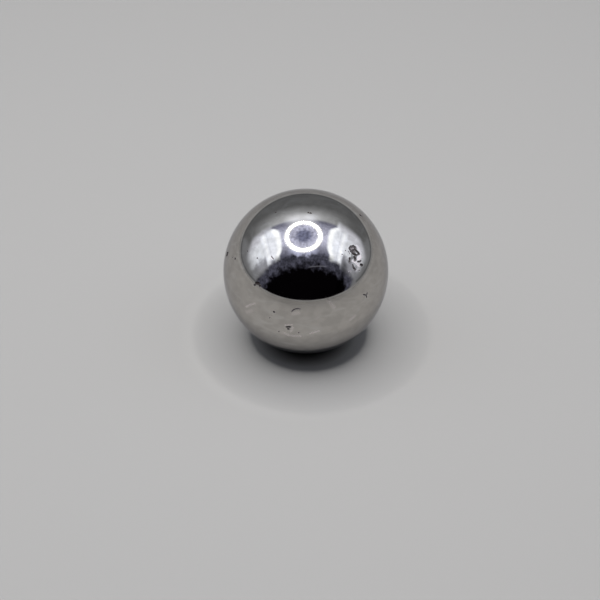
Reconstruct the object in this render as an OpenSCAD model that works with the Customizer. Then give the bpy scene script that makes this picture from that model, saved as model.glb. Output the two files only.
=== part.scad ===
// Steel bearing ball: one solid ball, ground and lapped to a mirror, that has seen use.
// A patch of its skin has flaked, and single pits and a curved dent lie round it.
// The origin is the ball's centre, +Z is up, and -Y is the front of the ball.
// Places on the ball are [longitude, latitude] in degrees: longitude is counted from
// the front towards +X, and latitude from the ball's middle towards +Z.

/* [Ball] */
// Diameter of the ball
ball_d = 12.7; // [9:0.1:16]

/* [Flaked patch] */
// Longitude of the patch's centre
patch_lon = 49; // [20:1:70]
// Latitude of the patch's centre
patch_lat = 40; // [10:1:60]
// Width of the large flake
flake_w = 0.36; // [0.24:0.01:0.44]
// Depth of the large flake
flake_depth = 0.055; // [0.02:0.005:0.1]
// Width of the small flakes beside it
chip_w = 0.28; // [0.2:0.01:0.36]
// Depth of the small flakes
chip_depth = 0.045; // [0.02:0.005:0.08]
// Width of the cracks that run on from the flakes
crack_w = 0.2; // [0.12:0.01:0.26]
// Depth of the cracks
crack_depth = 0.04; // [0.015:0.005:0.06]
// Width of the fine cracks
fine_crack_w = 0.15; // [0.08:0.01:0.18]
// Depth of the fine cracks
fine_crack_depth = 0.035; // [0.015:0.005:0.05]
// Width of the hairline crack at the patch's edge
hairline_w = 0.08; // [0.06:0.01:0.12]
// Depth of the hairline crack
hairline_depth = 0.014; // [0.01:0.002:0.03]

/* [Pits] */
// Width of the single pits
pit_w = 0.2; // [0.12:0.01:0.3]
// Depth of the single pits
pit_depth = 0.04; // [0.02:0.005:0.08]
// Width of the pinholes
pinhole_w = 0.12; // [0.06:0.01:0.16]
// Depth of the pinholes
pinhole_depth = 0.022; // [0.01:0.002:0.04]

/* [Dent] */
// Width of the curved dent
dent_w = 0.12; // [0.08:0.01:0.2]
// Depth of the curved dent
dent_depth = 0.018; // [0.01:0.002:0.04]

/* [Hidden] */
ball_r = ball_d / 2;

// A run is cut by a row of scoops, spaced at this share of its width.
scoop_pitch = 0.4;

// Flakes and cracks: each row is a path of [east, north] points, in mm on the patch.
FLAKES = [
    [[0.18, 0.72], [0.01, 0.71], [0, 0.48]],
];
CHIPS = [
    [[0.36, 0.72], [0.43, 0.54], [0.32, 0.44], [0, 0.42]],
];
CRACKS = [
    [[0.38, 0.36], [0.4, 0.2], [0.47, 0.05]],
    [[-0.04, 0.34], [0.04, 0.2], [0.12, 0.11]],
    [[-0.1, 0.02], [-0.1, -0.18]],
    [[-0.52, 0.14]],
    [[-0.58, -0.66], [-0.55, -0.76]],
    [[0.14, -0.75], [0.23, -0.85]],
];
FINE_CRACKS = [
    [[0.12, 0.11], [0.18, 0.02], [0.4, 0]],
    [[0, -0.43], [0.15, -0.5], [0.3, -0.52]],
    [[-0.55, -0.4], [-0.6, -0.58]],
    [[-0.58, 0.06], [-0.66, -0.05]],
];
HAIRLINES = [
    [[-0.28, 0.66], [-0.27, 0.56], [-0.31, 0.42]],
];
PATCH_PINHOLES = [
    [[-0.47, 0.81]],
    [[-0.9, 0.71]],
    [[-0.22, -1.07]],
];

// Pits and pinholes: each row is a path of [longitude, latitude] points.
PITS = [
    [[-39.4, 24], [-37.5, 24.7]],
    [[-40.3, 22.3]],
    [[-35.8, 23.5]],
    [[-87.2, 18.5], [-85, 20.4]],
    [[-86, 17.6], [-84.2, 19.2]],
    [[103.6, 47.2], [102.6, 48.6]],
    [[-22, 8.3]],
    [[-12.9, -2.3], [-10.8, -1.8]],
    [[-11.8, -4]],
    [[-69.7, 26.7]],
    [[-36, -42]],
];
PINHOLES = [
    [[12.8, 83.3], [26.9, 82.2]],
    [[-61.3, 38.3]],
    [[-18.6, -8.3]],
    [[-4.7, -6.7]],
    [[-73.6, 25.1]],
    [[44.3, 13.1], [46.6, 11.4], [47.8, 12.4]],
    [[46.6, 11.4], [46.6, 9.6]],
    [[-84.5, 69]],
    [[-135.5, 60]],
    [[-43.5, -38.5]],
    [[-25, 2.4]],
    [[-47.4, 39.4]],
    [[-34.6, 45.1], [-32, 44]],
];
DENT = [[-9.5, 11.4], [-8.8, 12.4], [-7.4, 13.3], [-5.9, 13.9], [-4, 13.7]];

function unit(v) = v / norm(v);

// Direction from the centre to a place on the ball
function toward(place) = [
    cos(place[1]) * sin(place[0]),
    -cos(place[1]) * cos(place[0]),
    sin(place[1])
];

// Direction from the centre to a point of the patch, given in mm east and north
function patch_toward(point) =
    let (east = [cos(patch_lon), sin(patch_lon), 0])
    let (up = toward([patch_lon, patch_lat]))
    unit(ball_r * up + point[0] * east + point[1] * cross(up, east));

// Radius of the sphere that cuts a scoop of this mouth width and depth into the ball
function scoop_r(w, depth) =
    let (mouth = cos(asin(w / ball_d)))
    let (floor_r = ball_r - depth)
    (ball_r * ball_r + floor_r * floor_r - 2 * ball_r * floor_r * mouth)
        / (2 * (ball_r * mouth - floor_r));

// One shallow round scoop, cut towards the ball's centre
module scoop(direction, w, depth) {
    r = scoop_r(w, depth);
    translate((ball_r - depth + r) * direction)
        sphere(r = r, $fn = 48);
}

// A row of scoops from one direction to the next
module run(from, to, w, depth) {
    steps = ceil(ball_r * norm(to - from) / (scoop_pitch * w));
    for (i = [0 : steps])
        scoop(unit(from + (to - from) * i / max(steps, 1)), w, depth);
}

// A path of one or more directions, cut as runs
module path(directions, w, depth) {
    if (len(directions) == 1)
        scoop(directions[0], w, depth);
    else
        for (i = [1 : len(directions) - 1])
            run(directions[i - 1], directions[i], w, depth);
}

// Every row of a list of paths on the patch
module patch_paths(rows, w, depth) {
    for (row = rows)
        path([for (point = row) patch_toward(point)], w, depth);
}

// Every row of a list of paths on the ball
module paths(rows, w, depth) {
    for (row = rows)
        path([for (place = row) toward(place)], w, depth);
}

module flaked_patch() {
    patch_paths(FLAKES, flake_w, flake_depth);
    patch_paths(CHIPS, chip_w, chip_depth);
    patch_paths(CRACKS, crack_w, crack_depth);
    patch_paths(FINE_CRACKS, fine_crack_w, fine_crack_depth);
    patch_paths(HAIRLINES, hairline_w, hairline_depth);
    patch_paths(PATCH_PINHOLES, pinhole_w, pinhole_depth);
}

module pits() {
    paths(PITS, pit_w, pit_depth);
    paths(PINHOLES, pinhole_w, pinhole_depth);
}

module ball() {
    color([0.76, 0.76, 0.75])
        difference() {
            sphere(d = ball_d, $fn = 200);
            flaked_patch();
            pits();
            paths([DENT], dent_w, dent_depth);
        }
}

ball();
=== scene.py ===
import math

import bmesh
import bpy
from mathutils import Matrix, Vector, kdtree, noise


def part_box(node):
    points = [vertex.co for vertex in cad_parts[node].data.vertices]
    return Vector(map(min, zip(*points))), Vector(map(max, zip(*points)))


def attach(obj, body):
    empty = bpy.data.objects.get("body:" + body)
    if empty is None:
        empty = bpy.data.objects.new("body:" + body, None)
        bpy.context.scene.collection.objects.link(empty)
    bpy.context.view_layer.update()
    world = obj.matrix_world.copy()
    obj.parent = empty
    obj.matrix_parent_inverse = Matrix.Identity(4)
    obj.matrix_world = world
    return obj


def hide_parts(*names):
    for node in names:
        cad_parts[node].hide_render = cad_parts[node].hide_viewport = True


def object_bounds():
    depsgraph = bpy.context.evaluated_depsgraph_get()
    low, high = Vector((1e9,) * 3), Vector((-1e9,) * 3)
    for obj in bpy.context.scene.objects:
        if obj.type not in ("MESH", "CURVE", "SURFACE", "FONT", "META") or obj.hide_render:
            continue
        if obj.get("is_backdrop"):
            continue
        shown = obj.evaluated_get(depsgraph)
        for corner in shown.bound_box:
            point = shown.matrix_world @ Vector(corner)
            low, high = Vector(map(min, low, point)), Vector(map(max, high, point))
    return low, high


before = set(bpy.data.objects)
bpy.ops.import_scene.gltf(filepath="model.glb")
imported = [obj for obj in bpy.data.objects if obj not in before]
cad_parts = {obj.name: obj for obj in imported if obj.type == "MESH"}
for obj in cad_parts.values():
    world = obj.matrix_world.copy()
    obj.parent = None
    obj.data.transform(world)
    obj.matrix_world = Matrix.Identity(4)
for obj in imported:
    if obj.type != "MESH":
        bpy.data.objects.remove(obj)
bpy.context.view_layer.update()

# ---------------------------------------------------------------------------------------
# The ball
# One solid ball of hardened chromium steel, headed from bar, ground and lapped to a mirror.
# Rolling under load has flaked a patch of its skin, and rust has pitted it here and there.
# ---------------------------------------------------------------------------------------
MM = 0.001
BALL_NODE = "ball"
ball_low, ball_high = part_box(BALL_NODE)
BALL_R = (ball_high.z - ball_low.z) / 2

# The flaked patch's centre: longitude from the front towards +X, and latitude, in degrees.
PATCH_LONGITUDE, PATCH_LATITUDE = 49, 40

# Flakes and cracks on the patch: width and depth in mm, how black with rust they are from 0
# to 1, and paths of (east, north) in mm.
PATCH_MARKS = [
    (0.36, 0.055, 0.45, [[(0.18, 0.72), (0.01, 0.71), (0, 0.48)]]),
    (0.28, 0.045, 0.62, [[(0.36, 0.72), (0.43, 0.54), (0.32, 0.44), (0, 0.42)]]),
    (0.20, 0.040, 0.88, [
        [(0.38, 0.36), (0.40, 0.20), (0.47, 0.05)],
        [(-0.04, 0.34), (0.04, 0.20), (0.12, 0.11)],
        [(0.14, -0.75), (0.23, -0.85)],
    ]),
    (0.20, 0.040, 0.78, [
        [(-0.10, 0.02), (-0.10, -0.18)],
        [(-0.52, 0.14)],
        [(-0.58, -0.66), (-0.55, -0.76)],
    ]),
    (0.15, 0.035, 0.48, [
        [(0.12, 0.11), (0.18, 0.02), (0.40, 0.00)],
        [(0, -0.43), (0.15, -0.50), (0.30, -0.52)],
        [(-0.55, -0.40), (-0.60, -0.58)],
        [(-0.58, 0.06), (-0.66, -0.05)],
    ]),
    (0.12, 0.022, 0.10, [[(-0.47, 0.81)], [(-0.90, 0.71)], [(-0.22, -1.07)]]),
    (0.08, 0.014, 0.10, [[(-0.28, 0.66), (-0.27, 0.56), (-0.31, 0.42)]]),
]

# Rust has crept under the skin beside the cracks: width in mm, how dark, and paths.
RUST_BLOOMS = [
    (0.30, 0.70, [[(0.14, 0.26), (0.03, 0.06), (-0.14, -0.02), (-0.08, -0.18)]]),
    (0.32, 0.70, [[(-0.24, 0.08), (-0.50, 0.10), (-0.66, -0.04)]]),
    (0.24, 0.50, [[(-0.60, -0.50), (-0.56, -0.80)]]),
    (0.24, 0.30, [[(-0.34, -0.62), (-0.36, -0.72)]]),
    (0.28, 0.75, [[(0.10, 0.03), (-0.02, -0.09), (-0.20, -0.16)]]),
    (0.26, 0.60, [[(-0.15, 0.32), (-0.26, 0.12)]]),
]

# Skin between the cracks that has lifted and frosted: width and height in mm, how frosted it
# is from 0 to 1, and paths.
LIFTED_SKIN = [
    (0.38, 0.003, 0.9, [[(0.44, -0.24), (0.30, -0.26), (0.14, -0.28)]]),
    (0.28, 0.003, 0.8, [[(-0.36, -0.16), (-0.26, -0.30), (-0.16, -0.50), (-0.10, -0.76)]]),
    (0.24, 0.001, 0.6, [[(0.68, 0.60), (0.72, 0.40), (0.66, 0.05)]]),
    (0.24, 0.001, 0.5, [
        [(-0.30, -0.90), (-0.50, -0.96)],
        [(-1.12, -0.62), (-0.98, -0.72)],
    ]),
]

# Pits, pinholes and the curved dent: width and depth in mm, how black with rust they are,
# and paths of (longitude, latitude) in degrees.
BALL_MARKS = [
    (0.20, 0.040, 0.95, [[(-39.4, 24), (-37.5, 24.7)]]),
    (0.20, 0.040, 0.8, [
        [(-40.3, 22.3)],
        [(-35.8, 23.5)],
        [(-69.7, 26.7)],
        [(103.6, 47.2), (102.6, 48.6)],
        [(-36, -42)],
    ]),
    (0.20, 0.040, 0.85, [[(-87.2, 18.5), (-85, 20.4)], [(-86, 17.6), (-84.2, 19.2)]]),
    (0.20, 0.040, 0.4, [[(-12.9, -2.3), (-10.8, -1.8)], [(-11.8, -4)]]),
    (0.20, 0.040, 0.2, [[(-22, 8.3)]]),
    (0.12, 0.022, 0.95, [[(12.8, 83.3), (26.9, 82.2)], [(-84.5, 69)]]),
    (0.12, 0.022, 0.78, [[(-61.3, 38.3)], [(-47.4, 39.4)], [(-135.5, 60)], [(-43.5, -38.5)]]),
    (0.12, 0.022, 0.4, [
        [(-73.6, 25.1)],
        [(44.3, 13.1), (46.6, 11.4), (47.8, 12.4)],
        [(46.6, 11.4), (46.6, 9.6)],
    ]),
    (0.12, 0.022, 0, [[(-25, 2.4)], [(-18.6, -8.3)], [(-4.7, -6.7)], [(-34.6, 45.1), (-32, 44)]]),
    (0.12, 0.018, 0.3, [[(-9.5, 11.4), (-8.8, 12.4), (-7.4, 13.3), (-5.9, 13.9), (-4, 13.7)]]),
]

# Scuffs, which have frosted the skin without breaking it: width and height in mm, how frosted
# it is, and paths of (longitude, latitude).
SCUFFS = [
    (0.22, 0, 0.5, [[(-15.1, -8.6), (-11.9, -10.6), (-3.6, -10.3)]]),
    (0.24, 0, 0.4, [
        [(-13.9, -1), (-9.3, 0.4)],
        [(-8.8, -1.9), (-10, -6)],
        [(3.1, -7.5), (8.9, -5.3)],
        [(-45.2, 2), (-41, 6.4), (-37.3, 9.2)],
    ]),
    (0.36, 0, 0.3, [
        [(-44.7, -2.5), (-39.6, 2.3)],
        [(15.9, 18.9), (17.8, 15.6), (19.8, 12.8)],
        [(-8.7, 9.6), (-5, 10.6)],
        [(32.2, -1.6), (35.5, -0.5)],
    ]),
]


def ease(start, end, value):
    """0 at start and 1 at end, with a smooth step between. start may be the higher one."""
    share = min(max((value - start) / (end - start), 0), 1)
    return share * share * (3 - 2 * share)


def toward(longitude, latitude):
    """Direction from the ball's centre to a place on it."""
    east, north = math.radians(longitude), math.radians(latitude)
    across = math.cos(north)
    return Vector((across * math.sin(east), -across * math.cos(east), math.sin(north)))


def patch_toward(east, north):
    """Direction from the ball's centre to a point of the patch."""
    outward = toward(PATCH_LONGITUDE, PATCH_LATITUDE)
    eastward = toward(PATCH_LONGITUDE + 90, 0)
    northward = outward.cross(eastward)
    return (outward * BALL_R + (eastward * east + northward * north) * MM).normalized()


SCOOP_PITCH = 0.25  # from one round scoop of a path to the next, in widths of the mark


def scoops_along(path, width):
    """Directions spaced closely enough along a path for round scoops to join up."""
    found = [path[0]]
    for start, end in zip(path, path[1:]):
        steps = math.ceil((end - start).length * BALL_R / (SCOOP_PITCH * width))
        found += [start.lerp(end, i / steps).normalized() for i in range(1, steps + 1)]
    return found


def scoops_of(rows, direction_of):
    """The round scoops along all the paths of some rows: middle, half width, other values."""
    found = []
    for width, *others, paths in rows:
        for path in paths:
            for direction in scoops_along([direction_of(*point) for point in path], width * MM):
                found.append((direction * BALL_R, width * MM / 2, others))
    return found


def tree_of(scoops):
    """A search tree over the middles of scoops."""
    tree = kdtree.KDTree(len(scoops))
    for index, (middle, _, _) in enumerate(scoops):
        tree.insert(middle, index)
    tree.balance()
    return tree


pits = scoops_of(PATCH_MARKS, patch_toward) + scoops_of(BALL_MARKS, toward)
blooms = scoops_of(RUST_BLOOMS, patch_toward)
flaps = scoops_of(LIFTED_SKIN, patch_toward) + scoops_of(SCUFFS, toward)
pit_tree, bloom_tree, flap_tree = tree_of(pits), tree_of(blooms), tree_of(flaps)

# A mark breaks along facets of this size. They tear its edge, with finer flecks along it, and
# leave its floor stepped.
FRACTURE_GRAIN = 0.09 * MM
FLECK_GRAIN, STEP_GRAIN = 0.4 * FRACTURE_GRAIN, 0.5 * FRACTURE_GRAIN
FACET_TEAR, FLECK_TEAR, FLOOR_STEP, FLECK_FROST = 0.25, 0.15, 0.5, 0.4

# Where a mark's broken metal, its rust and its burnished lip start to fade and end, in half
# widths from its middle. Rust past STAIN_FROM stains further, and past LIP_KEPT it has eaten
# the lip, which is gone at LIP_LOST.
BROKEN_IN, BROKEN_OUT, RUST_OUT = 0.85, 1.05, 1.15
LIP_IN, LIP_TOP, LIP_OUT = 0.95, 1.15, 1.6
STAIN_FROM, STAIN_REACH = 0.8, 0.15
LIP_KEPT, LIP_LOST = 0.85, 0.95
LIP_FROST, LIP_HEIGHT = 0.2, 0.001 * MM

# Where rust blooms, lifted skin and scuffs start to fade and end, in their half widths.
FADE_IN, BLOOM_OUT, FLAP_OUT = 0.3, 1.2, 1.25

# How far round a spot its marks are looked for, from the widest mark's half width.
WIDEST = max(half_width for _, half_width, _ in pits)
PIT_SEARCH, FADE_SEARCH = LIP_OUT * WIDEST, 1.5 * WIDEST


def wear_at(spot):
    """How far the skin has moved in at a spot, and how broken, rusted and frosted it is there."""
    sink = broken = rusted = frosted = lift = 0
    flecks = noise.noise(spot / FLECK_GRAIN)
    tear = 1 + FACET_TEAR * noise.noise(spot / FRACTURE_GRAIN) + FLECK_TEAR * flecks
    for _, index, away in pit_tree.find_range(spot, PIT_SEARCH):
        _, half_width, (depth, rust) = pits[index]
        reach = away / half_width * tear
        sink = max(sink, depth * (1 - min(reach, 1) ** 2) ** 2)
        stain = STAIN_REACH * ease(STAIN_FROM, 1, rust)
        broken = max(broken, ease(BROKEN_OUT + stain, BROKEN_IN + stain, reach))
        rusted = max(rusted, rust * ease(RUST_OUT + stain, BROKEN_IN + stain, reach))
        lip = ease(LIP_IN, LIP_TOP, reach) * ease(LIP_OUT, LIP_TOP, reach)
        frosted = max(frosted, LIP_FROST * lip * ease(LIP_LOST, LIP_KEPT, rust))
    sink *= 1 + FLOOR_STEP * noise.noise(spot / STEP_GRAIN)
    for _, index, away in bloom_tree.find_range(spot, FADE_SEARCH):
        _, half_width, (rust,) = blooms[index]
        rusted = max(rusted, rust * ease(BLOOM_OUT, FADE_IN, away / half_width * tear))
    for _, index, away in flap_tree.find_range(spot, FADE_SEARCH):
        _, half_width, (height, frost) = flaps[index]
        flap = ease(FLAP_OUT, FADE_IN, away / half_width * tear)
        lift = max(lift, height * MM * flap)
        frosted = max(frosted, frost * flap * (1 + FLECK_FROST * flecks))
    intact = 1 - broken
    frosted = min(frosted, 1) * intact
    return sink * MM - max(lift * intact, LIP_HEIGHT * frosted), broken, rusted, frosted


# The ball's mesh is divided finer, level by level, this far round each mark: so many of the
# mark's half widths, and a margin that halves from level to level.
FINE_LEVELS, FINE_REACH, FINE_MARGIN = 3, 1.4, 0.06 * MM

shell = bmesh.new()
bmesh.ops.create_icosphere(shell, subdivisions=7, radius=BALL_R)
for level in range(FINE_LEVELS):
    near = set()
    margin = FINE_MARGIN / 2 ** level
    for face in shell.faces:
        middle = face.calc_center_median().normalized() * BALL_R
        for tree, scoops in ((pit_tree, pits), (bloom_tree, blooms), (flap_tree, flaps)):
            if any(away < scoops[index][1] * FINE_REACH + margin
                   for _, index, away in tree.find_range(middle, PIT_SEARCH)):
                near.update(face.edges)
                break
    bmesh.ops.subdivide_edges(shell, edges=list(near), cuts=1, use_grid_fill=True)
    bmesh.ops.triangulate(shell, faces=shell.faces[:])
    for vert in shell.verts:
        vert.co = vert.co.normalized() * BALL_R

wear_layers = [shell.verts.layers.float.new(name) for name in ("broken", "rusted", "frosted")]
for vert in shell.verts:
    sink, *wear = wear_at(vert.co)
    for layer, amount in zip(wear_layers, wear):
        vert[layer] = amount
    vert.co *= (BALL_R - sink) / BALL_R
for face in shell.faces:
    face.smooth = True
ball_mesh = bpy.data.meshes.new("polished_ball")
shell.to_mesh(ball_mesh)
shell.free()
ball = bpy.data.objects.new("polished_ball", ball_mesh)
bpy.context.scene.collection.objects.link(ball)


def linear(hex_code):
    """An sRGB hex colour as linear red, green and blue."""
    parts = [int(hex_code[i:i + 2], 16) / 255 for i in (1, 3, 5)]
    return Vector([p / 12.92 if p <= 0.04045 else ((p + 0.055) / 1.055) ** 2.4 for p in parts])


def new_material(name):
    """A material that has no nodes yet, and its node tree."""
    material = bpy.data.materials.new(name)
    material.use_nodes = True
    material.node_tree.nodes.clear()
    return material, material.node_tree


def add(tree, kind, inputs, **settings):
    """Adds a shader node with its settings, and sets or links its inputs by name or number."""
    node = tree.nodes.new("ShaderNode" + kind)
    for name, value in settings.items():
        setattr(node, name, value)
    for key, value in inputs.items():
        named = [s for s in node.inputs if s.enabled and s.name == key]
        socket = named[0] if named else node.inputs[key]
        if isinstance(value, bpy.types.Node):
            value = next(s for s in value.outputs if s.enabled)
        if isinstance(value, bpy.types.NodeSocket):
            tree.links.new(value, socket)
        else:
            socket.default_value = value
    return node


# Bearing steel, lapped: iron mirrors a little under half of the light, faintly warm, and a
# lapped skin hardly blurs it. Marks are broken grey metal or rusted dark, and the skin that
# has lifted between them is bright but frosted.
STEEL = linear("#b6b2ad")
SMEARED_STEEL = linear("#c2bfbb")
FROSTED_STEEL = linear("#e8dfde")
BROKEN_STEEL = linear("#696668")
BROKEN_FACETS = linear("#918c8e")
RUST = linear("#160f0d")
LAPPED_ROUGHNESS, SMEARED_ROUGHNESS = 0.035, 0.07
FROSTED_ROUGHNESS, BROKEN_ROUGHNESS = 0.58, 0.7
RUST_SHINE = 0.1
HAZE = 0.07  # how much lighter or darker the haze leaves the steel
SMEAR_SIZE, HAZE_SIZE, FACET_SIZE = 2.4 * MM, 0.8 * MM, 0.11 * MM
GRIT_SIZE, GRIT_HEIGHT = 0.1 * MM, 0.01 * MM
GRAIN_SIZE, GRAIN_HEIGHT = 0.03 * MM, 0.006 * MM

steel, tree = new_material("lapped_chromium_steel")
place = add(tree, "TexCoord", {}).outputs["Object"]
broken, rusted, frosted = (add(tree, "Attribute", {}, attribute_name=name).outputs["Fac"]
                           for name in ("broken", "rusted", "frosted"))

# Wiping leaves faint curved smears, a few millimetres long and under one wide.
wiped = add(tree, "Mapping", {"Vector": place, "Rotation": (0.5, 0.4, 0.7), "Scale": (1, 2.5, 4)})
smears = add(tree, "TexNoise", {"Vector": wiped, "Scale": 1 / SMEAR_SIZE, "Detail": 4,
                                "Distortion": 1.2})
smeared = add(tree, "MapRange", {"Value": smears, "From Min": 0.52, "From Max": 0.75})

# Broken metal shows facets about a tenth of a millimetre wide.
facets = add(tree, "TexNoise", {"Vector": place, "Scale": 1 / FACET_SIZE, "Detail": 2})
facets = add(tree, "MapRange", {"Value": facets, "From Min": 0.42, "From Max": 0.62})
broken_colour = add(tree, "Mix", {"Factor": facets, "A": (*BROKEN_STEEL, 1),
                                  "B": (*BROKEN_FACETS, 1)}, data_type="RGBA")

# Handling has left a faint mottled haze, in patches under a millimetre wide.
haze = add(tree, "TexNoise", {"Vector": place, "Scale": 1 / HAZE_SIZE, "Detail": 4})
haze = add(tree, "MapRange", {"Value": haze, "From Min": 0.38, "From Max": 0.62})
colour = add(tree, "Mix", {"Factor": haze, "A": (*(STEEL * (1 - HAZE)), 1),
                           "B": (*(STEEL * (1 + HAZE)), 1)}, data_type="RGBA")
colour = add(tree, "Mix", {"Factor": smeared, "A": colour, "B": (*SMEARED_STEEL, 1)},
             data_type="RGBA")
colour = add(tree, "Mix", {"Factor": frosted, "A": colour, "B": (*FROSTED_STEEL, 1)},
             data_type="RGBA")
colour = add(tree, "Mix", {"Factor": broken, "A": colour, "B": broken_colour},
             data_type="RGBA")
colour = add(tree, "Mix", {"Factor": rusted, "A": colour, "B": (*RUST, 1)}, data_type="RGBA")

roughness = add(tree, "MapRange", {"Value": smeared, "To Min": LAPPED_ROUGHNESS,
                                   "To Max": SMEARED_ROUGHNESS})
roughness = add(tree, "Mix", {"Factor": frosted, "A": roughness, "B": FROSTED_ROUGHNESS},
                data_type="FLOAT")
roughness = add(tree, "Mix", {"Factor": broken, "A": roughness, "B": BROKEN_ROUGHNESS},
                data_type="FLOAT")
metallic = add(tree, "MapRange", {"Value": rusted, "From Min": 0.7, "To Min": 1, "To Max": 0.2})

# Lapping grit of a few microns leaves scratches too fine to show, so they are drawn a tenth
# of a millimetre apart. The grain of broken metal is thirty microns across.
grit = add(tree, "TexNoise", {"Vector": place, "Scale": 1 / GRIT_SIZE, "Detail": 3})
waves = add(tree, "Bump", {"Height": grit, "Strength": 0.02, "Distance": GRIT_HEIGHT})
grain = add(tree, "TexNoise", {"Vector": place, "Scale": 1 / GRAIN_SIZE, "Detail": 2})
relief = add(tree, "Bump", {"Height": grain, "Strength": broken, "Distance": GRAIN_HEIGHT,
                            "Normal": waves})

shader = add(tree, "BsdfPrincipled", {"Base Color": colour, "Metallic": metallic,
                                      "Roughness": roughness, "Normal": relief,
                                      "Specular Tint": (0.7, 0.7, 0.72, 1),
                                      "Specular IOR Level": RUST_SHINE})
add(tree, "OutputMaterial", {"Surface": shader})
ball_mesh.materials.append(steel)

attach(ball, "root")
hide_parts(BALL_NODE)

# ---------------------------------------------------------------------------------------
# The floor
# A pale board painted matt, laid flat under the ball. It runs out to the tent's walls, so that
# it fills what the ball mirrors below it.
# ---------------------------------------------------------------------------------------
TENT_R = 32 * BALL_R
FLOOR_COLOUR = linear("#72716f")

# The board's colour carries painted shade and light: a painted shadow on the spot the ball
# rests on, painted light that the ball throws down round it, painted light from the tent's
# walls on the board's far edge, and painted shade towards the open front. Each row: what is
# measured from the ball, two distances in ball radii, and the board's brightness at each of them.
PAINTED_FLOOR_SHADES = [
    ("away", 0.4, 0.63, 0.04, 1),
    ("away", 0.9, 1.6, 1.16, 1),
    ("away", 11, 32, 1, 2),
    ("back", -9, -4.5, 0.84, 1),
]

board = bmesh.new()
bmesh.ops.create_circle(board, cap_ends=True, segments=128, radius=TENT_R)
bmesh.ops.translate(board, verts=board.verts[:], vec=(0, 0, ball_low.z))
floor_mesh = bpy.data.meshes.new("floor")
board.to_mesh(floor_mesh)
board.free()
floor = bpy.data.objects.new("floor", floor_mesh)
bpy.context.scene.collection.objects.link(floor)

# Matt paint on board: it scatters light evenly and has no gloss.
matt, tree = new_material("matt_board")
place = add(tree, "TexCoord", {}).outputs["Object"]
place = add(tree, "Mapping", {"Vector": place, "Location": (0, 0, -ball_low.z)})
measures = {"away": add(tree, "VectorMath", {0: place}, operation="LENGTH").outputs["Value"],
            "back": add(tree, "SeparateXYZ", {"Vector": place}).outputs["Y"]}
# Row by row, the painted shade and light darken and lighten the board's colour.
shade = 1
for measure, start, end, low, high in PAINTED_FLOOR_SHADES:
    step = add(tree, "MapRange", {"Value": measures[measure], "From Min": start * BALL_R,
                                  "From Max": end * BALL_R, "To Min": low, "To Max": high})
    shade = add(tree, "Math", {0: shade, 1: step}, operation="MULTIPLY")
board_colour = add(tree, "VectorMath", {0: FLOOR_COLOUR, "Scale": shade}, operation="SCALE")
shader = add(tree, "BsdfDiffuse", {"Color": board_colour})
add(tree, "OutputMaterial", {"Surface": shader})
floor_mesh.materials.append(matt)
floor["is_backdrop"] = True

# ---------------------------------------------------------------------------------------
# The light tent
# A tent of soft white cloth round the ball and the camera: a dim back wall, a bright panel of
# light on each side wall, a creased ceiling and an open front onto a dark room.
# ---------------------------------------------------------------------------------------
# Below, the tent is drawn as the steel mirrors it, in degrees from straight up: x to the right
# and y to the back. A pair of numbers is where a change of light starts and where it ends.
CREASE_SIZE, WRINKLE_SIZE, MOTTLE_SIZE = 7, 2.2, 3

BACK_WALL, UPPER_WALL, SIDE_WALL = linear("#535353"), linear("#aaaaab"), linear("#676768")
WALL_RISE, WALL_SIDES, WALL_MIDDLE, WALL_CORNER = (56, 24), (68, 12), -6, (66, 73)

CEILING, CEILING_FOLD_SHADE, LAMP_GLOW = linear("#bebed0"), linear("#5e5e6c"), linear("#f0f0f4")
CEILING_DEPTH, CEILING_SEAM, CEILING_SIDES = (26, 2), (28, 22), (62, 50)
GLOW_SIDES, GLOW_MIDDLE, GLOW_LOW, GLOW_HIGH, GLOW_SOFT = (23, 7), -5, 20, 33, 6

DARK_CLOTH, DARK_ROOM, SPILL, HEM_HIGHLIGHT = map(linear, ("#3c3c46", "#030203", "#b8bad2", "#8a8a90"))
CLOTH_TOP, CLOTH_SIDE = (-22, -29), (81, 74)
SPILL_RIGHT, SPILL_BACK, SPILL_STRETCH, SPILL_FADE = -4, -21, 2.4, (10, 4)
ROOM_TOP, ROOM_SIDE = (-36, -49), (72, 68)
HEM_LOW, HEM_HIGH, HEM_SLOPE, HEM_LEFT, HEM_RIGHT = -45.7, -45.3, 0.2, 5, 30
DIP_SIDES, LEFT_DIP, RIGHT_DIP = (50, 70), 5, 2.5

# Each panel: its side, its inner edge, the crest of its crease, where its wing starts to fade,
# its top and its foot. Its inner edge bows outwards, and its wing's top slopes down.
PANELS = [(-1, 30.7, 51.5, 68, 26, -24), (1, 27, 46.5, 71, 29.5, -26)]
PANEL, PANEL_EDGE, PANEL_CREASE_SHADE = linear("#e3e5ec"), linear("#fdfefe"), linear("#b4b6be")
PANEL_WING, UPPER_WING, WING_FOOT = linear("#cdcfd4"), linear("#b9b9bf"), linear("#88888e")
BOW_START, BOW_FLARE, BOW_LIMIT, LOWER_BOW = 12, 0.05, 9, 0.6
EDGE_WIDTH, EDGE_TOP, PANEL_TOP, PANEL_TOP_SIDE = 6.5, (27, 14), (16, 24), (35, 42)
WING_TOP, WING_LOW, WING_FOOT_DIP, WING_END = (6, 18), (-8.5, -17.5), -5, (86, 78)
WING_CURVE, WING_FADE, SLOPE_START, WING_SLOPE = 90, 16, 65, 0.8
WEDGE_LEFT, WEDGE_RIGHT, WEDGE_TOP = 53, 62, (-18, -26)

# The ring light's middle, and its rims from the inner one to the outer one, with the strip of
# lamps between the two in the middle. The lamp's hub shows inside it, with a hole.
RING_RIGHT, RING_BACK = -3.2, -1.1
RING_RIMS = [17.8, 19.25, 22.15, 23.6]
HUB, HUB_HOLE = linear("#aaaabc"), linear("#6a6c82")
HUB_RIGHT, HUB_BACK, HUB_EDGE, HOLE_EDGE = -2.5, -1.2, (22, 21), (13, 6)

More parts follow.
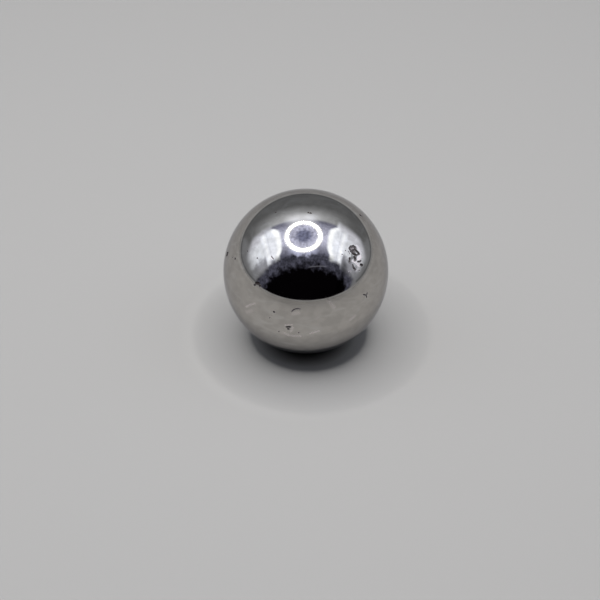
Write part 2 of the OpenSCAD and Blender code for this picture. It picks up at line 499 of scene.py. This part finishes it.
# The walls' foot, which the steel mirrors higher behind the ball, and the floor past it.
FAR_FLOOR, BACK_FLOOR, FOOT_SHADOW = linear("#767472"), linear("#82807d"), linear("#484848")
WALL_FOOT, BACK_RISE, BEHIND_SIDES, SHADOW_FRONT = 89.6, 5.2, (75, 25), -30


def band(value, low, high, soft):
    """1 where value lies between low and high, fading to 0 over soft on both sides."""
    return ease(low - soft, low + soft, value) * ease(high + soft, high - soft, value)


def tent_light(x, y):
    """Light from the tent, x degrees to the right of straight up and y degrees to its back."""
    out = math.hypot(x, y)
    crease = noise.fractal(Vector((x / CREASE_SIZE, y / CREASE_SIZE, 1)), 0.8, 2.1, 4)
    wrinkle = noise.fractal(Vector((x / WRINKLE_SIZE, y / WRINKLE_SIZE, 5)), 0.9, 2.1, 3)

    # The back wall brightens upwards to the seam of the ceiling, most in its middle.
    middle = ease(*WALL_SIDES, abs(x - WALL_MIDDLE))
    light = BACK_WALL.lerp(UPPER_WALL, ease(*WALL_RISE, y) * middle)
    light = light.lerp(SIDE_WALL, ease(*WALL_CORNER, abs(x)))

    # The ceiling is painted brightest beside the ring light, with painted shade in its folds
    # towards its corners and painted light and shade of its creases and wrinkles.
    spread = ease(*CEILING_DEPTH, abs(y)) * (1 - 0.3 * ease(0, 0.5, crease))
    ceiling = CEILING_FOLD_SHADE.lerp(CEILING, spread) * (1 + 0.25 * wrinkle)
    light = light.lerp(ceiling, ease(*CEILING_SEAM, y) * ease(*CEILING_SIDES, abs(x)))
    glow = ease(*GLOW_SIDES, abs(x - GLOW_MIDDLE))
    glow *= band(y + crease, GLOW_LOW, GLOW_HIGH, GLOW_SOFT)
    light = light.lerp(LAMP_GLOW, 0.55 * glow)

    # The front is a dark cloth with painted light along its top and painted light and shade of
    # its creases, with the open room under its uneven hem and a painted highlight along the hem.
    dip = (LEFT_DIP if x < 0 else RIGHT_DIP) * ease(*DIP_SIDES, abs(x))
    cloth = DARK_CLOTH * (1 + 0.7 * crease + 0.5 * wrinkle)
    light = light.lerp(cloth, ease(*CLOTH_TOP, y + 2 * crease + dip) * ease(*CLOTH_SIDE, x))
    off_spill = math.hypot((x - SPILL_RIGHT) / SPILL_STRETCH, y - SPILL_BACK + 3 * crease)
    light = light.lerp(SPILL, ease(*SPILL_FADE, off_spill))
    light = light.lerp(DARK_ROOM, ease(*ROOM_TOP, y + 5 * crease + dip) * ease(*ROOM_SIDE, x))
    hem_highlight = band(y - HEM_SLOPE * x, HEM_LOW, HEM_HIGH, 0.9)
    light = light.lerp(HEM_HIGHLIGHT, 0.9 * hem_highlight * band(x, HEM_LEFT, HEM_RIGHT, 3))

    # A bright panel of painted light on each side, bowed and creased, with a painted highlight
    # along its inner edge and its crease's crest, painted shade in its crease, and a dimmer wing
    # outside it.
    for side, inner, crest, outer, top, foot in PANELS:
        across = side * x
        bow = (y / BOW_START) ** 2 + BOW_FLARE * max(abs(y) - BOW_START, 0) ** 2
        inner += min(bow, BOW_LIMIT) * (1 if y > 0 else LOWER_BOW)
        edge = band(across, inner, inner + EDGE_WIDTH, 2.5) * ease(*EDGE_TOP, y)
        panel = PANEL.lerp(PANEL_EDGE, edge)
        panel = panel.lerp(PANEL_EDGE, 0.7 * band(across, crest - 1, crest + 1, 2))
        panel = panel.lerp(PANEL_CREASE_SHADE, 0.8 * band(across, crest - 4.3, crest - 3.7, 1.2))
        panel = panel.lerp(UPPER_WING, ease(*PANEL_TOP, y) * ease(*PANEL_TOP_SIDE, across))
        wing = PANEL_WING.lerp(UPPER_WING, ease(*WING_TOP, y))
        wing = wing.lerp(WING_FOOT, ease(*WING_LOW, y + 3 * crease))
        outer -= y * y / WING_CURVE
        wing = wing.lerp(SIDE_WALL, 0.75 * ease(outer, outer + WING_FADE, across))
        on_wing = ease(crest + 2, crest + 6, across)
        panel = panel.lerp(wing, on_wing)
        slope = WING_SLOPE * max(across - SLOPE_START, 0)
        foot += WING_FOOT_DIP * on_wing
        lit = ease(inner - 2, inner + 2.5, across)
        lit *= ease(top + 7, top - 6, y + slope + crease)
        lit *= ease(foot - 7, foot + 5, y + 2 * crease)
        light = light.lerp(panel * (1 + 0.15 * crease), lit * ease(*WING_END, across))

    # Painted shade darkens a wedge below the right panel, on its wing, where the cloth folds.
    light *= 1 - 0.65 * band(x, WEDGE_LEFT, WEDGE_RIGHT, 4) * ease(*WEDGE_TOP, y + crease)

    # The lamp's hub and its hole show inside the ring.
    off_hub = math.hypot(x - HUB_RIGHT, y - HUB_BACK)
    hub = HUB.lerp(HUB_HOLE, ease(*HOLE_EDGE, off_hub + 2 * crease))
    mottle = noise.noise(Vector((x / MOTTLE_SIZE, y / MOTTLE_SIZE, 9)))
    hub *= 1 + 0.45 * mottle + 0.2 * wrinkle
    off_ring = math.hypot(x - RING_RIGHT, y - RING_BACK)
    light = light.lerp(hub, ease(*HUB_EDGE, off_ring))
    light = light.lerp(LAMP_GLOW, band(off_ring, RING_RIMS[0], RING_RIMS[-1], 1.6))

    # A thin shadow runs along the foot of the walls, and past it lies the far floor.
    behind = ease(*BEHIND_SIDES, abs(math.degrees(math.atan2(x, y))))
    rim = WALL_FOOT - BACK_RISE * behind
    if y > SHADOW_FRONT:
        light = light.lerp(FOOT_SHADOW, 0.8 * band(out, rim - 2, rim, 0.8))
    far_floor = FAR_FLOOR.lerp(BACK_FLOOR, behind)
    return light.lerp(far_floor, ease(rim, rim + 0.8 + 2 * behind, out))


tent_shell = bmesh.new()
bmesh.ops.create_uvsphere(tent_shell, u_segments=480, v_segments=360, radius=TENT_R)
below = [v for v in tent_shell.verts if v.co.z < 1.5 * ball_low.z]
bmesh.ops.delete(tent_shell, geom=below, context="VERTS")
bmesh.ops.reverse_faces(tent_shell, faces=tent_shell.faces)
light_layer = tent_shell.verts.layers.float_color.new("light")
for vert in tent_shell.verts:
    from_zenith = math.degrees(vert.co.angle(Vector((0, 0, 1)), 0))
    heading = math.atan2(vert.co.x, vert.co.y)
    x, y = from_zenith * math.sin(heading), from_zenith * math.cos(heading)
    vert[light_layer] = (*(m / s for m, s in zip(tent_light(x, y), STEEL)), 1)
for face in tent_shell.faces:
    face.smooth = True
tent_mesh = bpy.data.meshes.new("light_tent")
tent_shell.to_mesh(tent_mesh)
tent_shell.free()
tent = bpy.data.objects.new("light_tent", tent_mesh)
bpy.context.scene.collection.objects.link(tent)

# Thin white cloth, drawn as light: the light and shade that fall on it are painted into its
# glow, alike to every side.
cloth, tree = new_material("tent_cloth")
light = add(tree, "Attribute", {}, attribute_name="light").outputs["Color"]
shader = add(tree, "Emission", {"Color": light, "Strength": 1})
add(tree, "OutputMaterial", {"Surface": shader})
cloth.cycles.emission_sampling = "NONE"
tent_mesh.materials.append(cloth)
tent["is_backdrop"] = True

# ---------------------------------------------------------------------------------------
# The ring light
# A flat ring of small lamps under a diffuser, hung almost straight above the ball. It is the
# main light of the scene.
# ---------------------------------------------------------------------------------------
RING_HEIGHT = 28 * BALL_R
LAMP_BRIGHTNESS, DIFFUSER_BRIGHTNESS = 72, 2


def slant(angle):
    """How far to the side a line runs for each step up, from its degrees off straight up."""
    return math.tan(math.radians(angle))


tube = bmesh.new()
rings = [bmesh.ops.create_circle(tube, segments=128, radius=RING_HEIGHT * slant(rim))["verts"]
         for rim in RING_RIMS]
for inner, outer in zip(rings, rings[1:]):
    edges = [e for e in tube.edges if all(v in inner for v in e.verts)
             or all(v in outer for v in e.verts)]
    bmesh.ops.bridge_loops(tube, edges=edges)
for face in tube.faces:
    face.material_index = int(all(v in rings[1] or v in rings[2] for v in face.verts))
ring_middle = RING_HEIGHT * Vector((slant(RING_RIGHT), slant(RING_BACK), 1))
bmesh.ops.translate(tube, verts=tube.verts[:], vec=ring_middle)
ring_mesh = bpy.data.meshes.new("ring_light")
tube.to_mesh(ring_mesh)
tube.free()
ring = bpy.data.objects.new("ring_light", ring_mesh)
bpy.context.scene.collection.objects.link(ring)

# The lamps run along the ring's middle, under a diffuser that is wider than they are.
for name, brightness in (("diffuser", DIFFUSER_BRIGHTNESS), ("lamp_strip", LAMP_BRIGHTNESS)):
    glow, tree = new_material(name)
    shader = add(tree, "Emission", {"Color": (1, 1, 1, 1), "Strength": brightness})
    add(tree, "OutputMaterial", {"Surface": shader})
    ring_mesh.materials.append(glow)
ring_mesh.materials["diffuser"].cycles.emission_sampling = "NONE"
ring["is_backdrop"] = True

# ---------------------------------------------------------------------------------------
# The camera
# It looks down on the ball from the front, through a long lens that is held close to it.
# The ball stands a little right of the view's middle and above it.
# ---------------------------------------------------------------------------------------
CAMERA_ANGLE = math.radians(40)
CAMERA_AWAY = 24 * BALL_R
BALL_SHARE = 0.2753  # of the view's width
AIM_LEFT, AIM_BELOW = 0.07 * BALL_R, 0.35 * BALL_R

world = bpy.data.worlds.new("dark_room")
world.color = (0, 0, 0)
bpy.context.scene.world = world
bpy.context.scene.view_settings.view_transform = "Standard"

lens = bpy.data.cameras.new("camera")
lens.lens = lens.sensor_width * BALL_SHARE / 2 / math.tan(math.asin(BALL_R / CAMERA_AWAY))
lens.clip_start, lens.clip_end = BALL_R, 4 * TENT_R
camera = bpy.data.objects.new("camera", lens)
outward = Vector((0, -math.cos(CAMERA_ANGLE), math.sin(CAMERA_ANGLE)))
upward = Vector((0, math.sin(CAMERA_ANGLE), math.cos(CAMERA_ANGLE)))
camera.location = outward * CAMERA_AWAY
aim = Vector((-AIM_LEFT, 0, 0)) - upward * AIM_BELOW
camera.rotation_euler = (aim - camera.location).to_track_quat("-Z", "Y").to_euler()
bpy.context.scene.collection.objects.link(camera)
bpy.context.scene.camera = camera

low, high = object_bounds()
